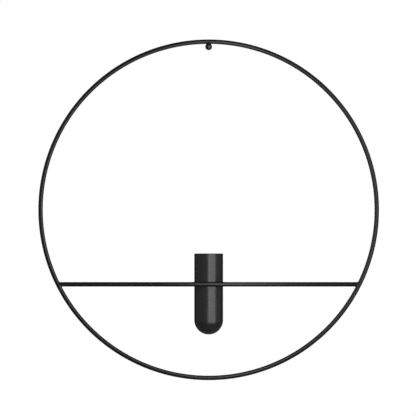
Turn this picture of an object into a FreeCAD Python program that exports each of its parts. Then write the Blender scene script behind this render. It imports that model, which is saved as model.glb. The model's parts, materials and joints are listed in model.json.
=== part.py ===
import FreeCAD, Part
import math
import os

# Hanging wall vase: a ring of thin rod hangs on a wall peg, a straight bar crosses the ring, and a
# loop behind the bar holds an upright round-bottomed tube. Millimetres. +Z is up, +X is right as
# seen from the room, and the wall's face is the plane Y = 0 with the room on its -Y side.
# The origin is on the wall's face, on the axis of the peg.

# Frame of rod
ring_outer_diameter = 300.0
rod_diameter = 4.0
bar_drop = 65.6             # bar's axis below the centre of the ring
horn_trim = 0.25            # the thin tips of a coped rod end, cut off blunt

# Vase tube
tube_diameter = 25.4
tube_wall = 1.2
tube_length = 71.4
rim_rise = 27.1             # rim above the bar's axis
rim_round = 0.45

# Seat of the tube in its loop
seat_clearance = 0.4        # tube to bar, and tube to loop
stop_section = 1.2          # thickness of the rubber stop ring
stop_groove_depth = 0.45
stop_rest_clearance = 0.1   # stop ring to the rods it stands on
turn_clearance = 0.05       # stop ring to its groove in the tube

# Rubber bumper on the back of the loop
bumper_proud = 1.0          # rubber between the loop and the wall
bumper_width = 14.0
bumper_cheek = 1.1          # rubber above and below the rod
bumper_lip = 0.8            # how far the clip reaches past the middle of the rod
bumper_round = 0.9

# Wall peg
peg_diameter = 6.0
peg_groove_depth = 0.8
peg_nose = 5.5              # tip of the peg in front of the ring's plane
peg_dome_height = 1.7
peg_edge = 0.3
hang_clearance = 0.05       # ring to the groove it hangs in

# Double-ended screw
stud_diameter = 3.9
stud_depth = 16.0           # length of the screw inside the peg
stud_bore_spare = 1.0       # bore left free past the end of the screw
stud_fit = 0.05
stud_chamfer = 0.4
stud_shoulder = 0.8         # end of the thick part, short of the wall's face
thread_diameter = 3.5
thread_core_diameter = 2.4
thread_start = 1.5          # plain neck inside the plug, before the thread
thread_pitch = 1.6
thread_turns = 11
thread_land = 0.15          # width of the flat crest
screw_point = 3.0

# Wall plug
plug_diameter = 5.0
plug_length = 25.0
plug_fit = 0.05
plug_slot_width = 0.7
plug_slot_length = 17.0
plug_tip_chamfer = 0.7
plug_end_wall = 1.2

# One spare length for every cut that has to run past a face
overrun = 2.0

# Places worked out from the sizes above
rod_radius = rod_diameter / 2
ring_radius = ring_outer_diameter / 2 - rod_radius
ring_inner_radius = ring_radius - rod_radius
tube_radius = tube_diameter / 2
peg_radius = peg_diameter / 2
loop_radius = tube_radius + seat_clearance + rod_radius

loop_back_y = -(bumper_proud + rod_radius)
tube_y = loop_back_y - loop_radius
ring_y = tube_y - loop_radius

peg_groove_radius = peg_radius - peg_groove_depth
ring_center_z = peg_groove_radius + hang_clearance - ring_inner_radius
bar_z = ring_center_z - bar_drop
bar_half_length = math.sqrt(ring_radius ** 2 - bar_drop ** 2) - horn_trim

rim_z = bar_z + rim_rise
tube_bottom_z = rim_z - tube_length
ball_z = tube_bottom_z + tube_radius

stop_radius = tube_radius - stop_groove_depth + stop_section / 2
stop_reach = rod_radius + stop_section / 2 + stop_rest_clearance
stop_z = bar_z + math.sqrt(stop_reach ** 2 - (loop_radius - stop_radius) ** 2)

X_AXIS = FreeCAD.Vector(1, 0, 0)
Y_AXIS = FreeCAD.Vector(0, 1, 0)
Z_AXIS = FreeCAD.Vector(0, 0, 1)
ORIGIN = FreeCAD.Vector(0, 0, 0)
FULL_TURN = 360
HALF_TURN = 180


def point(x, y, z):
    return FreeCAD.Vector(x, y, z)


def line(a, b):
    return Part.makeLine(a, b)


def arc(a, middle, b):
    return Part.Arc(a, middle, b).toShape()


def revolved(edges, center, axis):
    """Closed outline turned once about an axis."""
    face = Part.Face(Part.Wire(edges))
    return face.revolve(center, axis, FULL_TURN)


def ring_torus():
    """Torus of the outer ring, with its seam at the top where the peg is."""
    torus = Part.makeTorus(ring_radius, rod_radius)
    torus.rotate(ORIGIN, X_AXIS, FULL_TURN / 4)
    torus.rotate(ORIGIN, Y_AXIS, -FULL_TURN / 4)
    torus.translate(point(0, ring_y, ring_center_z))
    return torus


def make_outer_ring():
    return ring_torus()


def make_cross_bar():
    """Straight rod whose ends are hollowed to fit the round of the ring."""
    start = point(-bar_half_length, ring_y, bar_z)
    bar = Part.makeCylinder(rod_radius, 2 * bar_half_length, start, X_AXIS)
    return bar.cut(ring_torus())


def make_rear_loop():
    """Half circle round the back of the tube, with two straight legs to the back of the bar."""
    half = Part.makeTorus(loop_radius, rod_radius, ORIGIN, Z_AXIS, 0, FULL_TURN, HALF_TURN)
    half.translate(point(0, tube_y, bar_z))
    leg_length = tube_y - ring_y - horn_trim
    loop = half
    for side in (-1, 1):
        start = point(side * loop_radius, tube_y, bar_z)
        leg = Part.makeCylinder(rod_radius, leg_length, start, -Y_AXIS)
        loop = loop.fuse(leg)
    bar_length = 2 * (loop_radius + rod_radius + overrun)
    bar_start = point(-bar_length / 2, ring_y, bar_z)
    bar = Part.makeCylinder(rod_radius, bar_length, bar_start, X_AXIS)
    return loop.cut(bar).removeSplitter()


def make_wall_bumper(loop):
    """Rubber clip with a flat face to the wall, snapped on the loop from behind."""
    depth = bumper_proud + rod_radius + bumper_lip
    height = 2 * (rod_radius + bumper_cheek)
    corner = point(-bumper_width / 2, -depth, bar_z - height / 2)
    block = Part.makeBox(bumper_width, depth, height, corner)
    along_wall = [e for e in block.Edges if is_along(e, Y_AXIS)]
    block = block.makeFillet(bumper_round, along_wall)
    return block.cut(loop)


def is_along(edge, axis):
    direction = edge.Vertexes[-1].Point - edge.Vertexes[0].Point
    return abs(direction.dot(axis)) > direction.Length / 2


def make_vase_tube():
    """Tube with a half-ball bottom, a rounded rim and a shallow groove for the stop ring."""
    inner_radius = tube_radius - tube_wall
    slant = math.sqrt(0.5)
    rim_in = rim_round * (1 - slant)
    rim_middle = point(tube_radius - rim_in, 0, rim_z - rim_in)
    edges = [
        arc(point(0, 0, tube_bottom_z),
            point(tube_radius * slant, 0, ball_z - tube_radius * slant),
            point(tube_radius, 0, ball_z)),
        line(point(tube_radius, 0, ball_z), point(tube_radius, 0, rim_z - rim_round)),
        arc(point(tube_radius, 0, rim_z - rim_round), rim_middle, point(tube_radius - rim_round, 0, rim_z)),
        line(point(tube_radius - rim_round, 0, rim_z), point(inner_radius, 0, rim_z)),
        line(point(inner_radius, 0, rim_z), point(inner_radius, 0, ball_z)),
        arc(point(inner_radius, 0, ball_z),
            point(inner_radius * slant, 0, ball_z - inner_radius * slant),
            point(0, 0, ball_z - inner_radius)),
        line(point(0, 0, ball_z - inner_radius), point(0, 0, tube_bottom_z)),
    ]
    tube = revolved(edges, ORIGIN, Z_AXIS)
    groove = Part.makeTorus(stop_radius, stop_section / 2 + turn_clearance)
    groove.translate(point(0, 0, stop_z))
    tube = tube.cut(groove)
    tube.translate(point(0, tube_y, 0))
    return tube


def make_stop_ring():
    ring = Part.makeTorus(stop_radius, stop_section / 2)
    ring.translate(point(0, tube_y, stop_z))
    return ring


def make_wall_peg():
    """Turned peg with a groove for the ring, a domed nose and a blind bore for the screw."""
    groove_arc_radius = rod_radius + hang_clearance
    groove_center_radius = peg_groove_radius + groove_arc_radius
    rise = groove_center_radius - peg_radius
    half_width = math.sqrt(groove_arc_radius ** 2 - rise ** 2)
    tip_y = ring_y - peg_nose
    dome_y = tip_y + peg_dome_height
    dome_radius = (peg_radius ** 2 + peg_dome_height ** 2) / (2 * peg_dome_height)
    half_angle = math.asin(peg_radius / dome_radius) / 2
    dome_middle = point(dome_radius * math.sin(half_angle),
                        tip_y + dome_radius * (1 - math.cos(half_angle)), 0)
    edges = [
        line(point(0, 0, 0), point(peg_radius - peg_edge, 0, 0)),
        line(point(peg_radius - peg_edge, 0, 0), point(peg_radius, -peg_edge, 0)),
        line(point(peg_radius, -peg_edge, 0), point(peg_radius, ring_y + half_width, 0)),
        arc(point(peg_radius, ring_y + half_width, 0), point(peg_groove_radius, ring_y, 0),
            point(peg_radius, ring_y - half_width, 0)),
        line(point(peg_radius, ring_y - half_width, 0), point(peg_radius, dome_y, 0)),
        arc(point(peg_radius, dome_y, 0), dome_middle, point(0, tip_y, 0)),
        line(point(0, tip_y, 0), point(0, 0, 0)),
    ]
    peg = revolved(edges, ORIGIN, Y_AXIS)
    bore_length = stud_depth + stud_bore_spare + overrun
    bore_start = point(0, overrun, 0)
    bore = Part.makeCylinder(stud_diameter / 2 + stud_fit, bore_length, bore_start, -Y_AXIS)
    return peg.cut(bore)


def screw_outline():
    """Half outline of the screw, from the end inside the peg to the point in the plug."""
    stud_radius = stud_diameter / 2
    core_radius = thread_core_diameter / 2
    crest_radius = thread_diameter / 2
    outline = [
        point(0, -stud_depth, 0),
        point(stud_radius - stud_chamfer, -stud_depth, 0),
        point(stud_radius, -stud_depth + stud_chamfer, 0),
        point(stud_radius, -stud_shoulder, 0),
        point(core_radius, -stud_shoulder + (stud_radius - core_radius) / 2, 0),
    ]
    for turn in range(thread_turns):
        root_y = thread_start + (turn + 0.5) * thread_pitch
        outline.append(point(core_radius, root_y - thread_pitch / 4, 0))
        outline.append(point(crest_radius, root_y - thread_land / 2, 0))
        outline.append(point(crest_radius, root_y + thread_land / 2, 0))
        outline.append(point(core_radius, root_y + thread_pitch / 4, 0))
    end_y = thread_start + thread_turns * thread_pitch
    outline.append(point(core_radius, end_y, 0))
    outline.append(point(0, end_y + screw_point, 0))
    return outline


def make_hanger_screw():
    outline = screw_outline()
    closed = Part.makePolygon(outline + outline[:1])
    return Part.Face(closed).revolve(ORIGIN, Y_AXIS, FULL_TURN)


def make_wall_plug():
    """Plug with a bore for the screw and one upright slot through it that lets it spread."""
    radius = plug_diameter / 2
    edges = [
        line(point(0, 0, 0), point(radius, 0, 0)),
        line(point(radius, 0, 0), point(radius, plug_length - plug_tip_chamfer, 0)),
        line(point(radius, plug_length - plug_tip_chamfer, 0),
             point(radius - plug_tip_chamfer, plug_length, 0)),
        line(point(radius - plug_tip_chamfer, plug_length, 0), point(0, plug_length, 0)),
        line(point(0, plug_length, 0), point(0, 0, 0)),
    ]
    plug = revolved(edges, ORIGIN, Y_AXIS)
    bore_radius = thread_diameter / 2 + plug_fit
    bore_length = plug_length - plug_end_wall + overrun
    bore = Part.makeCylinder(bore_radius, bore_length, point(0, -overrun, 0), Y_AXIS)
    plug = plug.cut(bore)
    slot_start = (plug_length - plug_slot_length) / 2
    slot_span = plug_diameter + 2 * overrun
    corner = point(-plug_slot_width / 2, slot_start, -slot_span / 2)
    slot = Part.makeBox(plug_slot_width, plug_slot_length, slot_span, corner)
    return plug.cut(slot)


def write(node, shape):
    """One solid per file. Prints its size, so that a broken piece shows at once."""
    solids = shape.Solids
    solid = solids[0]
    box = solid.optimalBoundingBox(False, False)
    print(node, len(solids), solid.isValid(), round(solid.Volume, 2),
          [round(v, 2) for v in (box.XMin, box.YMin, box.ZMin, box.XMax, box.YMax, box.ZMax)])
    solid.exportStep("parts/" + node + ".step")


def main():
    os.makedirs("parts", exist_ok=True)
    loop = make_rear_loop()
    write("outer_ring", make_outer_ring())
    write("cross_bar", make_cross_bar())
    write("rear_loop", loop)
    write("wall_bumper", make_wall_bumper(loop))
    write("vase_tube", make_vase_tube())
    write("stop_ring", make_stop_ring())
    write("wall_peg", make_wall_peg())
    write("hanger_screw", make_hanger_screw())
    write("wall_plug", make_wall_plug())


main()
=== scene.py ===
import json
import math

import bmesh
import bpy
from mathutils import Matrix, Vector


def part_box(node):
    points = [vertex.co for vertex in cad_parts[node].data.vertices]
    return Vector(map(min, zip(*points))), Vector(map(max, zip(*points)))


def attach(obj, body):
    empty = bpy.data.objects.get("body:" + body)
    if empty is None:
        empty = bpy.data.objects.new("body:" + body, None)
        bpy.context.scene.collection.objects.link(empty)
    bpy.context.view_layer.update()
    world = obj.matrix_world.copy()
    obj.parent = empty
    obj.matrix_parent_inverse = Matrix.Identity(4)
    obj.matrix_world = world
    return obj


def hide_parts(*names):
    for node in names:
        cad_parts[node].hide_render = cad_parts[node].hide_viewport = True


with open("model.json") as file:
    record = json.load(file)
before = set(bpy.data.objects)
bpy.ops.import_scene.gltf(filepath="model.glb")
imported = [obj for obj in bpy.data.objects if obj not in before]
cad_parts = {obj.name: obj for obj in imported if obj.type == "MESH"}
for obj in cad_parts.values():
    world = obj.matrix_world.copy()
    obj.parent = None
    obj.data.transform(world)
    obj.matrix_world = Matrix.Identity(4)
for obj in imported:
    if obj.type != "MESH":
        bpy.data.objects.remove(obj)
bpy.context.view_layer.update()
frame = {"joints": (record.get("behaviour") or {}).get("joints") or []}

# Sizes in metres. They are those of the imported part.
MM = 0.001
ROD_RADIUS = 2.0 * MM
RING_DIAMETER = 300.0 * MM
BAR_DROP = 65.6 * MM            # bar's axis below the centre of the ring
TUBE_RADIUS = 12.7 * MM
TUBE_WALL = 1.2 * MM
TUBE_LENGTH = 71.4 * MM
RIM_RISE = 27.1 * MM            # rim above the bar's axis
RIM_OUTER_ROUND = 0.45 * MM
RIM_INNER_ROUND = 0.3 * MM
SEAT_CLEARANCE = 0.4 * MM       # between the tube and its loop
STOP_SECTION_RADIUS = 0.6 * MM
TURN_CLEARANCE = 0.05 * MM      # between the rubber ring and its groove
PEG_RADIUS = 3.0 * MM
PEG_GROOVE_DEPTH = 0.8 * MM
PEG_DOME_HEIGHT = 1.7 * MM
PEG_EDGE = 0.3 * MM
HANG_CLEARANCE = 0.05 * MM      # between the ring and the peg's groove
STUD_RADIUS = 1.95 * MM
STUD_FIT = 0.05 * MM
STUD_BORE_SPARE = 1.0 * MM
STUD_SHOULDER = 0.8 * MM
STUD_CHAMFER = 0.4 * MM
STUD_PITCH = 0.7 * MM
STUD_THREAD_DEPTH = 0.3 * MM
THREAD_CREST_RADIUS = 1.75 * MM
THREAD_CORE_RADIUS = 1.2 * MM
THREAD_START = 1.5 * MM
THREAD_PITCH = 1.6 * MM
SCREW_POINT = 3.0 * MM
PLUG_RADIUS = 2.5 * MM
PLUG_BORE_RADIUS = 1.8 * MM
PLUG_SLOT_WIDTH = 0.7 * MM
PLUG_SLOT_START = 4.0 * MM
PLUG_SLOT_END = 21.0 * MM
PLUG_TIP_CHAMFER = 0.7 * MM
PLUG_END_WALL = 1.2 * MM
PLUG_BARBS = 8
PLUG_BARB_DEPTH = 0.25 * MM
PLUG_BARB_STEP = 0.06 * MM
BUMPER_ROUND = 0.9 * MM         # seen from the front and back
BUMPER_EDGE = 0.35 * MM
WELD_BLEND = 0.8 * MM           # size of the fillet where two rods are welded
WELD_SINK = 0.03 * MM           # keeps the fillet's skirt just under the other rod's surface
WELD_REACH = 3.4 * MM           # how far the skirt may run out inside the other rod
BAR_WELD_ZONE = 9.0 * MM        # length at each end of a rod that a fillet can touch
LOOP_WELD_ZONE = 7.0 * MM

# Fineness of the meshes. One row close to a rounded edge keeps its shading off the flat beside it.
SHADE_ROW = 0.15 * MM
SHARP_DEGREES = 40.0
ROD_SIDES = 36
RING_STEPS = 540
SCREW_SIDES = 40
SCREW_STEP = 0.1 * MM
PLUG_STEPS = 36                 # steps in each of the plug's two halves
BUMPER_STEPS = 48
LIP_STEPS = 20
HALVINGS = 24
TINY = 1e-9

# Places from the frame
joints = {joint["name"]: joint for joint in frame["joints"]}
RING_Y = joints["frame_swing"]["pos_m"][1]
TUBE_Y, BAR_Z = joints["vase_turn"]["pos_m"][1:]
RING_Z = BAR_Z + BAR_DROP
RING_RADIUS = RING_DIAMETER / 2 - ROD_RADIUS
LOOP_RADIUS = TUBE_RADIUS + SEAT_CLEARANCE + ROD_RADIUS
RIM_Z = BAR_Z + RIM_RISE
BALL_Z = RIM_Z - TUBE_LENGTH + TUBE_RADIUS
stop_low, stop_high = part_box("stop_ring")
STOP_Z = (stop_low.z + stop_high.z) / 2
STOP_RADIUS = (stop_high.x - stop_low.x) / 2 - STOP_SECTION_RADIUS

# Photograph's frame: the ring's centre and outer radius in pixels
PHOTO_WIDTH = 416
RING_PX_X = 208.66
RING_PX_Y = 209.81
RING_PX_RADIUS = 170.38

# Camera and floor
CAMERA_DISTANCE = 14.0
SENSOR = 36.0                   # millimetres
FLOOR_Z = -1.45
FLOOR_HALF = 6.0


def new_object(name, mesh, body, slot, material, *nodes):
    """One piece on a body, with the CAD nodes that it replaces. Its slot argument is not used."""
    piece = bpy.data.objects.new(name, mesh)
    bpy.context.scene.collection.objects.link(piece)
    mesh.materials.append(material)
    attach(piece, body)
    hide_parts(*nodes)


def finish_mesh(name, bm, sharp_degrees=SHARP_DEGREES):
    """Smooth shaded mesh with the edges sharper than an angle kept crisp."""
    bmesh.ops.recalc_face_normals(bm, faces=bm.faces)
    for face in bm.faces:
        face.smooth = True
    for edge in bm.edges:
        if len(edge.link_faces) == 2 and edge.calc_face_angle() > math.radians(sharp_degrees):
            edge.smooth = False
    mesh = bpy.data.meshes.new(name)
    bm.to_mesh(mesh)
    bm.free()
    return mesh


def band(bm, row, following, places):
    """Faces between two closed rows of vertices, at the places asked for."""
    for i in places:
        j = (i + 1) % len(row)
        bm.faces.new((row[i], row[j], following[j], following[i]))


def skin(bm, rows, closed):
    """Faces between closed rows of vertices. The last row meets the first, or both get a cap."""
    for row, following in zip(rows, rows[1:]):
        band(bm, row, following, range(len(row)))
    if closed:
        band(bm, rows[-1], rows[0], range(len(rows[0])))
    else:
        bm.faces.new(rows[0])
        bm.faces.new(rows[-1][::-1])


def lathe(name, profile, origin, axis, steps, closed=False):
    """Outline of (radius, height) turned about an axis. Points with no radius become one vertex."""
    up = Vector(axis)
    side = Vector((1, 0, 0))
    other = up.cross(side)
    turns = [math.tau * i / steps for i in range(steps)]
    outs = [side * math.cos(turn) + other * math.sin(turn) for turn in turns]
    bm = bmesh.new()
    rows = []
    for radius, height in profile:
        center = Vector(origin) + up * height
        if radius < TINY:
            rows.append([bm.verts.new(center)])
        else:
            rows.append([bm.verts.new(center + out * radius) for out in outs])
    for row, following in zip(rows, rows[1:]):
        if len(row) == len(following):
            band(bm, row, following, range(steps))
            continue
        for i in range(steps):
            j = (i + 1) % steps
            if len(row) == 1:
                bm.faces.new((row[0], following[j], following[i]))
            else:
                bm.faces.new((row[i], row[j], following[0]))
    if closed:
        band(bm, rows[-1], rows[0], range(steps))
    return finish_mesh(name, bm)


def arc_points(center, radius, start, end, count):
    """Points of an arc in an outline, from one angle to another in degrees."""
    points = []
    for i in range(count + 1):
        turn = math.radians(start + (end - start) * i / count)
        points.append((center[0] + radius * math.cos(turn), center[1] + radius * math.sin(turn)))
    return points


def smooth_min(a, b, size):
    """Smaller of two distances, rounded over where they are nearly equal."""
    gap = max(size - abs(a - b), 0.0) / size
    return min(a, b) - gap * gap * size / 4


def distance_to_ring(p):
    """Distance from a point to the surface of the outer ring."""
    across = math.hypot(p.x, p.z - RING_Z) - RING_RADIUS
    return math.hypot(across, p.y - RING_Y) - ROD_RADIUS


def distance_to_bar(p):
    """Distance from a point to the surface of the cross bar, taken as endless."""
    return math.hypot(p.y - RING_Y, p.z - BAR_Z) - ROD_RADIUS


def weld_reach(center, out, other):
    """How far the welded surface lies from the rod's axis, found by halving."""
    low, high = 0.0, WELD_REACH
    for _ in range(HALVINGS):
        middle = (low + high) / 2
        own = middle - ROD_RADIUS
        if smooth_min(own, other(center + out * middle) + WELD_SINK, WELD_BLEND) < 0:
            low = middle
        else:
            high = middle
    return low


def no_limit(out):
    """The bar's fillets run out freely inside the ring."""
    return WELD_REACH


def level_limit(out):
    """The loop's fillets stay between the top and the underside of the bar, which is as thick."""
    return ROD_RADIUS / max(abs(out.z), TINY)


def stations(length, fine_length, fine_steps, coarse_steps):
    """Places along a rod, close together near both ends."""
    near = [fine_length * i / fine_steps for i in range(fine_steps)]
    span = length - 2 * fine_length
    middle = [fine_length + span * i / coarse_steps for i in range(coarse_steps)]
    far = [length - s for s in reversed(near)]
    return near + middle + [length - fine_length] + far


def make_rod_mesh(name, length, place, zone, fine_steps, coarse_steps, other, limit):
    """Rod along a path. In a zone at each end it swells into a weld fillet against the other rod."""
    up = Vector((0, 0, 1))
    bm = bmesh.new()
    rows = []
    for s in stations(length, zone, fine_steps, coarse_steps):
        center, tangent = place(s)
        side = tangent.cross(up).normalized()
        row = []
        for i in range(ROD_SIDES):
            turn = math.tau * i / ROD_SIDES
            out = side * math.cos(turn) + up * math.sin(turn)
            reach = ROD_RADIUS
            if min(s, length - s) < zone:
                reach = min(weld_reach(center, out, other), limit(out))
            row.append(bm.verts.new(center + out * reach))
        rows.append(row)
    skin(bm, rows, closed=False)
    return finish_mesh(name, bm)


def make_ring_mesh():
    bm = bmesh.new()
    rows = []
    for i in range(RING_STEPS):
        turn = math.tau * i / RING_STEPS
        radial = Vector((math.sin(turn), 0, math.cos(turn)))
        center = Vector((0, RING_Y, RING_Z)) + radial * RING_RADIUS
        row = []
        for k in range(ROD_SIDES):
            roll = math.tau * k / ROD_SIDES
            offset = radial * math.cos(roll) + Vector((0, 1, 0)) * math.sin(roll)
            row.append(bm.verts.new(center + offset * ROD_RADIUS))
        rows.append(row)
    skin(bm, rows, closed=True)
    return finish_mesh("outer_ring_rod", bm)


def make_bar_mesh():
    """Bar between two points of the ring's axis, so that its ends lie inside the ring's rod."""
    half = math.sqrt(RING_RADIUS ** 2 - BAR_DROP ** 2)

    def bar_place(s):
        return Vector((s - half, RING_Y, BAR_Z)), Vector((1, 0, 0))

    return make_rod_mesh("cross_bar_rod", 2 * half, bar_place, BAR_WELD_ZONE,
                         fine_steps=60, coarse_steps=80, other=distance_to_ring, limit=no_limit)


def loop_place(s):
    """Point and direction on the loop's axis, s metres from its left end at the bar."""
    leg = TUBE_Y - RING_Y
    half_turn = math.pi * LOOP_RADIUS
    if s < leg:
        return Vector((-LOOP_RADIUS, RING_Y + s, BAR_Z)), Vector((0, 1, 0))
    if s > leg + half_turn:
        return Vector((LOOP_RADIUS, RING_Y + 2 * leg + half_turn - s, BAR_Z)), Vector((0, -1, 0))
    turn = math.pi - (s - leg) / LOOP_RADIUS
    center = Vector((0, TUBE_Y, BAR_Z))
    radial = Vector((math.cos(turn), math.sin(turn), 0))
    return center + radial * LOOP_RADIUS, Vector((math.sin(turn), -math.cos(turn), 0))


def make_loop_mesh():
    length = 2 * (TUBE_Y - RING_Y) + math.pi * LOOP_RADIUS
    return make_rod_mesh("rear_loop_rod", length, loop_place, LOOP_WELD_ZONE,
                         fine_steps=50, coarse_steps=90, other=distance_to_bar, limit=level_limit)


def make_tube_mesh():
    """Outline from the middle of the bottom, up the outside, over the rim and down the inside."""
    inner = TUBE_RADIUS - TUBE_WALL
    groove = STOP_SECTION_RADIUS + TURN_CLEARANCE
    opening = math.degrees(math.acos((STOP_RADIUS - TUBE_RADIUS) / groove))
    outer_round = (TUBE_RADIUS - RIM_OUTER_ROUND, RIM_Z - RIM_OUTER_ROUND)
    inner_round = (inner + RIM_INNER_ROUND, RIM_Z - RIM_INNER_ROUND)
    profile = arc_points((0, BALL_Z), TUBE_RADIUS, -90, 0, 40)
    profile += arc_points((STOP_RADIUS, STOP_Z), groove, 180 + opening, 180 - opening, 14)
    profile.append((TUBE_RADIUS, RIM_Z - 2 * RIM_OUTER_ROUND))
    profile += arc_points(outer_round, RIM_OUTER_ROUND, 0, 90, 8)
    profile += arc_points(inner_round, RIM_INNER_ROUND, 90, 180, 6)
    profile.append((inner, RIM_Z - 2 * RIM_INNER_ROUND))
    profile += arc_points((0, BALL_Z), inner, 0, -90, 36)
    profile[0] = (0.0, profile[0][1])
    profile[-1] = (0.0, profile[-1][1])
    return lathe("vase_tube_shell", profile, (0, TUBE_Y, 0), (0, 0, 1), steps=160)


def make_stop_ring_mesh():
    outline = arc_points((STOP_RADIUS, STOP_Z), STOP_SECTION_RADIUS, 0, 360, 28)[:-1]
    return lathe("stop_ring_rubber", outline, (0, TUBE_Y, 0), (0, 0, 1), steps=128, closed=True)


def make_peg_mesh():
    """Outline along the peg, from the wall to the tip, with the bore for the screw."""
    peg_low, peg_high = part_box("wall_peg")
    screw_low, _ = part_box("hanger_screw")
    length = peg_high.y - peg_low.y
    groove = ROD_RADIUS + HANG_CLEARANCE
    center_radius = PEG_RADIUS - PEG_GROOVE_DEPTH + groove
    opening = math.degrees(math.acos((center_radius - PEG_RADIUS) / groove))
    bore = STUD_RADIUS + STUD_FIT
    bore_end = -screw_low.y + STUD_BORE_SPARE
    dome_radius = (PEG_RADIUS ** 2 + PEG_DOME_HEIGHT ** 2) / (2 * PEG_DOME_HEIGHT)
    dome_angle = math.degrees(math.asin(PEG_RADIUS / dome_radius))
    profile = [(0.0, bore_end), (bore, bore_end), (bore, 0.0)]
    profile += arc_points((PEG_RADIUS - PEG_EDGE, PEG_EDGE), PEG_EDGE, -90, 0, 5)
    profile.append((PEG_RADIUS, 2 * PEG_EDGE))
    profile += arc_points((center_radius, -RING_Y), groove, 180 + opening, 180 - opening, 16)
    profile += arc_points((0, length - dome_radius), dome_radius, 90 - dome_angle, 90, 20)
    profile[-1] = (0.0, profile[-1][1])
    return lathe("wall_peg_turned", profile, (0, 0, 0), (0, -1, 0), steps=96)


def thread_ridge(turns, width):
    """Height of a thread's ridge, 0 to 1, at a number of turns along it."""
    return max(0.0, 1 - abs(turns % 1.0 - 0.5) * 2 / width)


def screw_radius(y, share, start, end):
    """Radius of the double-ended screw at a place along it and a share of a turn round it."""
    if y < -STUD_SHOULDER:
        ridge = thread_ridge(y / STUD_PITCH - share, width=1.0)
        inset = max(0.0, STUD_CHAMFER - min(y - start, -STUD_SHOULDER - y))
        return STUD_RADIUS - inset - STUD_THREAD_DEPTH * (1 - ridge)
    if y < THREAD_START:
        return THREAD_CORE_RADIUS
    rise = min(1.0, (y - THREAD_START) / THREAD_PITCH)
    taper = min(1.0, (end - y) / SCREW_POINT)
    ridge = thread_ridge(y / THREAD_PITCH - share, width=0.6)
    return taper * (THREAD_CORE_RADIUS + (THREAD_CREST_RADIUS - THREAD_CORE_RADIUS) * rise * ridge)


def make_screw_mesh():
    low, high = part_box("hanger_screw")
    count = round((high.y - low.y) / SCREW_STEP)
    bm = bmesh.new()
    rows = []
    for i in range(count):
        y = low.y + (high.y - low.y) * i / count
        row = []
        for k in range(SCREW_SIDES):
            share = k / SCREW_SIDES
            radius = screw_radius(y, share, low.y, high.y)
            turn = math.tau * share
            row.append(bm.verts.new((radius * math.cos(turn), y, radius * math.sin(turn))))
        rows.append(row)
    skin(bm, rows, closed=False)
    return finish_mesh("hanger_screw_threaded", bm, sharp_degrees=180.0)


def plug_loop(bm, radius, y):
    """One loop of the plug: two arcs, with the width of the slot between them above and below."""
    edge = math.asin(PLUG_SLOT_WIDTH / 2 / radius)
    row = []
    for start in (edge, math.pi + edge):
        for i in range(PLUG_STEPS + 1):
            turn = start + (math.pi - 2 * edge) * i / PLUG_STEPS
            row.append(bm.verts.new((radius * math.sin(turn), y, radius * math.cos(turn))))
    return row


def make_plug_mesh():
    """Plug with barbs on the part that spreads, a bore and one upright slot through both walls."""
    _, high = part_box("wall_plug")
    barb_pitch = (PLUG_SLOT_END - PLUG_SLOT_START) / PLUG_BARBS
    outline = [(0.0, PLUG_RADIUS)]
    for i in range(PLUG_BARBS):
        y = PLUG_SLOT_START + i * barb_pitch
        outline.append((y, PLUG_RADIUS))
        outline.append((y + barb_pitch - PLUG_BARB_STEP, PLUG_RADIUS - PLUG_BARB_DEPTH))
    outline.append((PLUG_SLOT_END, PLUG_RADIUS))
    slot_first, slot_last = 1, len(outline) - 1
    bore_stations = [y for y, _ in outline] + [high.y - PLUG_END_WALL]
    outline.append((high.y - PLUG_TIP_CHAMFER, PLUG_RADIUS))
    outline.append((high.y, PLUG_RADIUS - PLUG_TIP_CHAMFER))
    bm = bmesh.new()
    outer = [plug_loop(bm, radius, y) for y, radius in outline]
    inner = [plug_loop(bm, PLUG_BORE_RADIUS, y) for y in bore_stations]
    whole = range(len(outer[0]))
    strips = (PLUG_STEPS, whole[-1])
    edges = (0, PLUG_STEPS, PLUG_STEPS + 1, whole[-1])
    walls = [i for i in whole if i not in strips]
    slot = range(slot_first, slot_last)
    for rows in (outer, inner):
        for j in range(len(rows) - 1):
            band(bm, rows[j], rows[j + 1], walls if j in slot else whole)
    for j in slot:
        for i in edges:
            bm.faces.new((outer[j][i], outer[j + 1][i], inner[j + 1][i], inner[j][i]))
    for j in (slot_first, slot_last):
        band(bm, outer[j], inner[j], strips)
    band(bm, outer[0], inner[0], whole)
    bm.faces.new(outer[-1])
    bm.faces.new(inner[-1])
    return finish_mesh("wall_plug_barbed", bm, sharp_degrees=30.0)


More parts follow.
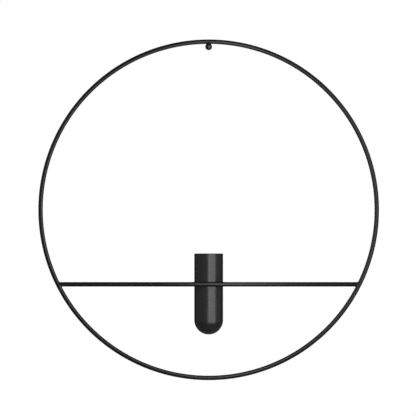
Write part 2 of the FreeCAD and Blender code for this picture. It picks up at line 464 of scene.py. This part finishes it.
def bumper_section(x, low, high):
    """Outline of the rubber clip across the rod: round the rod, out at the lips and round the block."""
    half_width = high.x
    past = max(0.0, abs(x) - (half_width - BUMPER_ROUND))
    half_height = (high.z - low.z) / 2 - BUMPER_ROUND + math.sqrt(BUMPER_ROUND ** 2 - past ** 2)
    near = max(0.0, abs(x) - (half_width - BUMPER_EDGE))
    soft = BUMPER_EDGE - math.sqrt(max(BUMPER_EDGE ** 2 - near ** 2, 0.0))
    front, back = low.y + soft, high.y - soft
    rod_y = TUBE_Y + math.sqrt(LOOP_RADIUS ** 2 - x ** 2)
    reach = ROD_RADIUS * LOOP_RADIUS / math.sqrt(LOOP_RADIUS ** 2 - x ** 2)
    lip = math.acos((front - rod_y) / reach)
    section = []
    for i in range(LIP_STEPS + 1):
        turn = lip * (1 - 2 * i / LIP_STEPS)
        section.append((rod_y + reach * math.cos(turn), ROD_RADIUS * math.sin(turn)))
    corners = (
        (front + BUMPER_EDGE, -half_height + BUMPER_EDGE, 180),
        (back - BUMPER_EDGE, -half_height + BUMPER_EDGE, 270),
        (back - BUMPER_EDGE, half_height - BUMPER_EDGE, 0),
        (front + BUMPER_EDGE, half_height - BUMPER_EDGE, 90),
    )
    for y, z, start in corners:
        corner = Vector((y, z))
        out = Vector((math.cos(math.radians(start)), math.sin(math.radians(start))))
        onward = Vector((-out.y, out.x))
        section.append(corner + out * BUMPER_EDGE - onward * SHADE_ROW)
        section += arc_points(corner, BUMPER_EDGE, start, start + 90, 5)
        section.append(corner + onward * BUMPER_EDGE - out * SHADE_ROW)
    return section


def make_bumper_mesh():
    low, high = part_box("wall_bumper")
    bm = bmesh.new()
    rows = []
    for i in range(BUMPER_STEPS + 1):
        x = -high.x * math.cos(math.pi * i / BUMPER_STEPS)
        rows.append([bm.verts.new((x, y, BAR_Z + z)) for y, z in bumper_section(x, low, high)])
    skin(bm, rows, closed=False)
    return finish_mesh("wall_bumper_clip", bm)


def shader_tree(name):
    """New material, its node tree and shader, and the place on the object that its textures use."""
    material = bpy.data.materials.new(name)
    material.use_nodes = True
    tree = material.node_tree
    place = tree.nodes.new("ShaderNodeTexCoord")
    return material, tree, tree.nodes["Principled BSDF"], place.outputs["Object"]


def noise(tree, place, scale, detail=3.0):
    node = tree.nodes.new("ShaderNodeTexNoise")
    node.inputs["Scale"].default_value = scale
    node.inputs["Detail"].default_value = detail
    node.inputs["Roughness"].default_value = 0.5
    tree.links.new(place, node.inputs["Vector"])
    return node.outputs["Fac"]


def ramp(tree, value, low, high, from_low=0.35, from_high=0.65):
    """Value spread smoothly over a range of numbers."""
    node = tree.nodes.new("ShaderNodeMapRange")
    node.interpolation_type = "SMOOTHSTEP"
    tree.links.new(value, node.inputs["Value"])
    node.inputs["From Min"].default_value = from_low
    node.inputs["From Max"].default_value = from_high
    node.inputs["To Min"].default_value = low
    node.inputs["To Max"].default_value = high
    return node.outputs["Result"]


def calculate(tree, operation, *values):
    """One step of arithmetic on numbers and on what other nodes give."""
    node = tree.nodes.new("ShaderNodeMath")
    node.operation = operation
    for socket, value in zip(node.inputs, values):
        if isinstance(value, float):
            socket.default_value = value
        else:
            tree.links.new(value, socket)
    return node.outputs["Value"]


def mix_colors(tree, factor, first, second):
    node = tree.nodes.new("ShaderNodeMix")
    node.data_type = "RGBA"
    tree.links.new(factor, node.inputs["Factor"])
    first_socket, second_socket = (s for s in node.inputs if s.type == "RGBA")
    for socket, value in ((first_socket, first), (second_socket, second)):
        if isinstance(value, tuple):
            socket.default_value = (*value, 1.0)
        else:
            tree.links.new(value, socket)
    return next(s for s in node.outputs if s.type == "RGBA")


def grey(level):
    return (level, level, level)


def bump(tree, shader, height, strength, distance):
    node = tree.nodes.new("ShaderNodeBump")
    node.inputs["Strength"].default_value = strength
    node.inputs["Distance"].default_value = distance
    tree.links.new(height, node.inputs["Height"])
    tree.links.new(node.outputs["Normal"], shader.inputs["Normal"])


def near_point(tree, place, point, radius):
    """1 close round a point, falling to 0 at a radius."""
    distance = tree.nodes.new("ShaderNodeVectorMath")
    distance.operation = "DISTANCE"
    tree.links.new(place, distance.inputs[0])
    distance.inputs[1].default_value = point
    return ramp(tree, distance.outputs["Value"], 1.0, 0.0, radius / 3, radius)


def near_height(tree, place, height, reach):
    """1 at a height, falling to 0 a little below it."""
    split = tree.nodes.new("ShaderNodeSeparateXYZ")
    tree.links.new(place, split.inputs["Vector"])
    return ramp(tree, split.outputs["Z"], 0.0, 1.0, height - reach, height)


def powder_coat(name, grain, tone, gloss, worn_place):
    """Satin black powder coat: fine orange peel, faint cloudiness, and rubbed patches at one place."""
    material, tree, shader, place = shader_tree(name)
    shader.inputs["Specular IOR Level"].default_value = gloss
    cloud = noise(tree, place, scale=60.0 * grain, detail=4.0)
    deep, pale = ((shade, shade, 1.04 * shade) for shade in (0.85 * tone, 1.15 * tone))
    color = mix_colors(tree, cloud, deep, pale)
    scratches = noise(tree, place, scale=1400.0 * grain, detail=5.0)
    patches = ramp(tree, scratches, 0.0, 1.0, from_low=0.45, from_high=0.60)
    worn = calculate(tree, "MULTIPLY", worn_place(tree, place), patches)
    rubbed = (0.030, 0.030, 0.031)
    tree.links.new(mix_colors(tree, worn, color, rubbed), shader.inputs["Base Color"])
    roughness = calculate(tree, "MULTIPLY_ADD", worn, 0.12, ramp(tree, cloud, 0.23, 0.29))
    tree.links.new(roughness, shader.inputs["Roughness"])
    peel = noise(tree, place, scale=3000.0, detail=2.0)
    bump(tree, shader, peel, strength=0.05, distance=0.02 * MM)
    return material


def rubber(name, shade):
    """Matt black rubber with a little dust, up to twice as light as the rubber itself."""
    material, tree, shader, place = shader_tree(name)
    dust = noise(tree, place, scale=400.0, detail=4.0)
    color = mix_colors(tree, ramp(tree, dust, 0.0, 1.0), grey(shade), grey(2 * shade))
    tree.links.new(color, shader.inputs["Base Color"])
    tree.links.new(ramp(tree, dust, 0.62, 0.78), shader.inputs["Roughness"])
    bump(tree, shader, noise(tree, place, scale=3000.0), strength=0.2, distance=0.02 * MM)
    return material


def zinc(name):
    """Zinc plating with a faint spangle."""
    material, tree, shader, place = shader_tree(name)
    shader.inputs["Metallic"].default_value = 1.0
    spangle = noise(tree, place, scale=900.0, detail=2.0)
    color = mix_colors(tree, spangle, (0.50, 0.50, 0.48), (0.68, 0.68, 0.66))
    tree.links.new(color, shader.inputs["Base Color"])
    tree.links.new(ramp(tree, spangle, 0.28, 0.42), shader.inputs["Roughness"])
    bump(tree, shader, noise(tree, place, scale=2500.0), strength=0.15, distance=0.02 * MM)
    return material


def nylon(name):
    """Light grey moulded nylon."""
    material, tree, shader, place = shader_tree(name)
    cloud = noise(tree, place, scale=250.0)
    color = mix_colors(tree, cloud, (0.38, 0.39, 0.40), (0.46, 0.47, 0.48))
    tree.links.new(color, shader.inputs["Base Color"])
    tree.links.new(ramp(tree, cloud, 0.42, 0.55), shader.inputs["Roughness"])
    bump(tree, shader, noise(tree, place, scale=4000.0), strength=0.15, distance=0.01 * MM)
    return material


def make_pieces():
    contact = (0.0, RING_Y, PEG_RADIUS - PEG_GROOVE_DEPTH)
    frame_coat = powder_coat("frame_powder_coat", grain=1.0, tone=0.0075, gloss=0.32,
                             worn_place=lambda tree, place: near_point(tree, place, contact, 5 * MM))
    tube_coat = powder_coat("tube_powder_coat", grain=1.3, tone=0.0118, gloss=0.5,
                            worn_place=lambda tree, place: near_height(tree, place, RIM_Z, 1 * MM))
    peg_coat = powder_coat("peg_powder_coat", grain=2.0, tone=0.0075, gloss=0.5,
                           worn_place=lambda tree, place: near_point(tree, place, contact, 3 * MM))
    new_object("outer_ring_rod", make_ring_mesh(), "frame", "powder_coat", frame_coat, "outer_ring")
    new_object("cross_bar_rod", make_bar_mesh(), "frame", "powder_coat", frame_coat, "cross_bar")
    new_object("rear_loop_rod", make_loop_mesh(), "frame", "powder_coat", frame_coat, "rear_loop")
    new_object("vase_tube_shell", make_tube_mesh(), "vase", "tube_coat", tube_coat, "vase_tube")
    new_object("stop_ring_rubber", make_stop_ring_mesh(), "stop_ring", "stop_rubber",
               rubber("stop_ring_rubber", 0.012), "stop_ring")
    new_object("wall_peg_turned", make_peg_mesh(), "wall_fitting", "peg_coat", peg_coat, "wall_peg")
    new_object("wall_bumper_clip", make_bumper_mesh(), "frame", "bumper_rubber",
               rubber("bumper_rubber", 0.016), "wall_bumper")
    new_object("hanger_screw_threaded", make_screw_mesh(), "wall_fitting", "zinc_steel",
               zinc("zinc_steel"), "hanger_screw")
    new_object("wall_plug_barbed", make_plug_mesh(), "wall_fitting", "grey_nylon",
               nylon("grey_nylon"), "wall_plug")


def make_camera():
    """Square to the ring and far off, as the photograph is, with the ring at its place in the frame."""
    scale = RING_DIAMETER / 2 / RING_PX_RADIUS
    data = bpy.data.cameras.new("camera")
    data.sensor_width = SENSOR
    data.lens = SENSOR * CAMERA_DISTANCE / (PHOTO_WIDTH * scale)
    data.clip_start = 0.05
    data.clip_end = 60.0
    camera = bpy.data.objects.new("camera", data)
    bpy.context.scene.collection.objects.link(camera)
    middle = PHOTO_WIDTH / 2
    x = (middle - RING_PX_X) * scale
    z = RING_Z + (RING_PX_Y - middle) * scale
    camera.location = (x, RING_Y - CAMERA_DISTANCE, z)
    camera.rotation_euler = (math.pi / 2, 0, 0)
    bpy.context.scene.camera = camera


def area_light(name, place, target, width, height, power):
    data = bpy.data.lights.new(name, "AREA")
    data.shape = "RECTANGLE"
    data.size = width
    data.size_y = height
    data.energy = power
    lamp = bpy.data.objects.new(name, data)
    bpy.context.scene.collection.objects.link(lamp)
    lamp.location = place
    lamp.rotation_euler = (Vector(target) - Vector(place)).to_track_quat("-Z", "Y").to_euler()
    lamp.visible_camera = False


def make_lights():
    """The key and the close strip together make the stripe down the tube; the third lights the back."""
    middle = (0, TUBE_Y, RING_Z)
    area_light("key_softbox", (0.88, -1.23, RING_Z - 0.005), middle, width=1.05, height=1.41, power=11.7)
    strip_x, strip_z = 0.0235, RING_Z + 0.038
    area_light("front_strip", (strip_x, RING_Y - 0.2, strip_z), (strip_x, RING_Y, strip_z),
               width=0.071, height=0.444, power=0.307)
    area_light("back_softbox", (-1.3, 1.4, RING_Z + 0.8), middle, width=1.4, height=1.4, power=5.0)


def background(tree, strength):
    """White light of a strength, for a part of the world."""
    node = tree.nodes.new("ShaderNodeBackground")
    node.inputs["Color"].default_value = (*grey(1.0), 1.0)
    node.inputs["Strength"].default_value = strength
    return node.outputs["Background"]


def mix_shaders(tree, factor, first, second):
    """First shader where the factor is 0, second where it is 1."""
    node = tree.nodes.new("ShaderNodeMixShader")
    tree.links.new(factor, node.inputs["Fac"])
    first_socket, second_socket = (s for s in node.inputs if s.type == "SHADER")
    tree.links.new(first, first_socket)
    tree.links.new(second, second_socket)
    return node.outputs["Shader"]


def make_world():
    """White where the camera looks past the object, and a dim even studio round it for its light."""
    world = bpy.data.worlds.new("studio")
    bpy.context.scene.world = world
    world.use_nodes = True
    tree = world.node_tree
    tree.nodes.clear()
    place = tree.nodes.new("ShaderNodeTexCoord")
    split = tree.nodes.new("ShaderNodeSeparateXYZ")
    tree.links.new(place.outputs["Generated"], split.inputs["Vector"])
    back, up = split.outputs["Y"], split.outputs["Z"]
    height = calculate(tree, "ABSOLUTE", up)
    level = ramp(tree, height, 1.0, 0.0, from_low=0.45, from_high=0.75)
    front = ramp(tree, back, 1.0, 0.0, from_low=0.2, from_high=0.6)
    walls = calculate(tree, "MULTIPLY", level, front)
    room = mix_shaders(tree, walls, background(tree, 0.02), background(tree, 0.30))
    behind = ramp(tree, back, 0.0, 1.0, from_low=0.975, from_high=0.998)
    white = background(tree, 1.0)
    reflected = mix_shaders(tree, behind, room, white)
    rays = tree.nodes.new("ShaderNodeLightPath")
    mirrored, refracted = rays.outputs["Is Glossy Ray"], rays.outputs["Is Transmission Ray"]
    shiny = calculate(tree, "MAXIMUM", mirrored, refracted)
    lit = mix_shaders(tree, shiny, background(tree, 0.45), reflected)
    seen = mix_shaders(tree, rays.outputs["Is Camera Ray"], lit, white)
    output = tree.nodes.new("ShaderNodeOutputWorld")
    tree.links.new(seen, output.inputs["Surface"])


def make_floor():
    """Pale floor far below the object. Away from it the camera sees the floor fade to white."""
    bm = bmesh.new()
    corners = ((-1, -1), (1, -1), (1, 1), (-1, 1))
    bm.faces.new([bm.verts.new((x * FLOOR_HALF, y * FLOOR_HALF, FLOOR_Z)) for x, y in corners])
    mesh = bpy.data.meshes.new("floor")
    bm.to_mesh(mesh)
    bm.free()
    floor = bpy.data.objects.new("floor", mesh)
    bpy.context.scene.collection.objects.link(floor)
    material, tree, shader, place = shader_tree("floor")
    color = mix_colors(tree, noise(tree, place, scale=3.0), grey(0.80), grey(0.84))
    tree.links.new(color, shader.inputs["Base Color"])
    shader.inputs["Roughness"].default_value = 0.8
    shader.inputs["Emission Color"].default_value = (*grey(1.0), 1.0)
    shader.inputs["Emission Strength"].default_value = 0.42
    far = tree.nodes.new("ShaderNodeEmission")
    far.inputs["Strength"].default_value = 1.0
    distance = tree.nodes.new("ShaderNodeVectorMath")
    distance.operation = "LENGTH"
    tree.links.new(place, distance.inputs[0])
    fade = ramp(tree, distance.outputs["Value"], 0.0, 1.0, from_low=1.6, from_high=4.4)
    pale = mix_shaders(tree, fade, shader.outputs["BSDF"], far.outputs["Emission"])
    dull = tree.nodes.new("ShaderNodeBsdfDiffuse")
    dull.inputs["Color"].default_value = (*grey(0.32), 1.0)
    rays = tree.nodes.new("ShaderNodeLightPath")
    both = mix_shaders(tree, rays.outputs["Is Camera Ray"], dull.outputs["BSDF"], pale)
    tree.links.new(both, tree.nodes["Material Output"].inputs["Surface"])
    mesh.materials.append(material)


make_camera()
make_pieces()
make_floor()
make_lights()
make_world()
bpy.context.scene.view_settings.view_transform = "Standard"
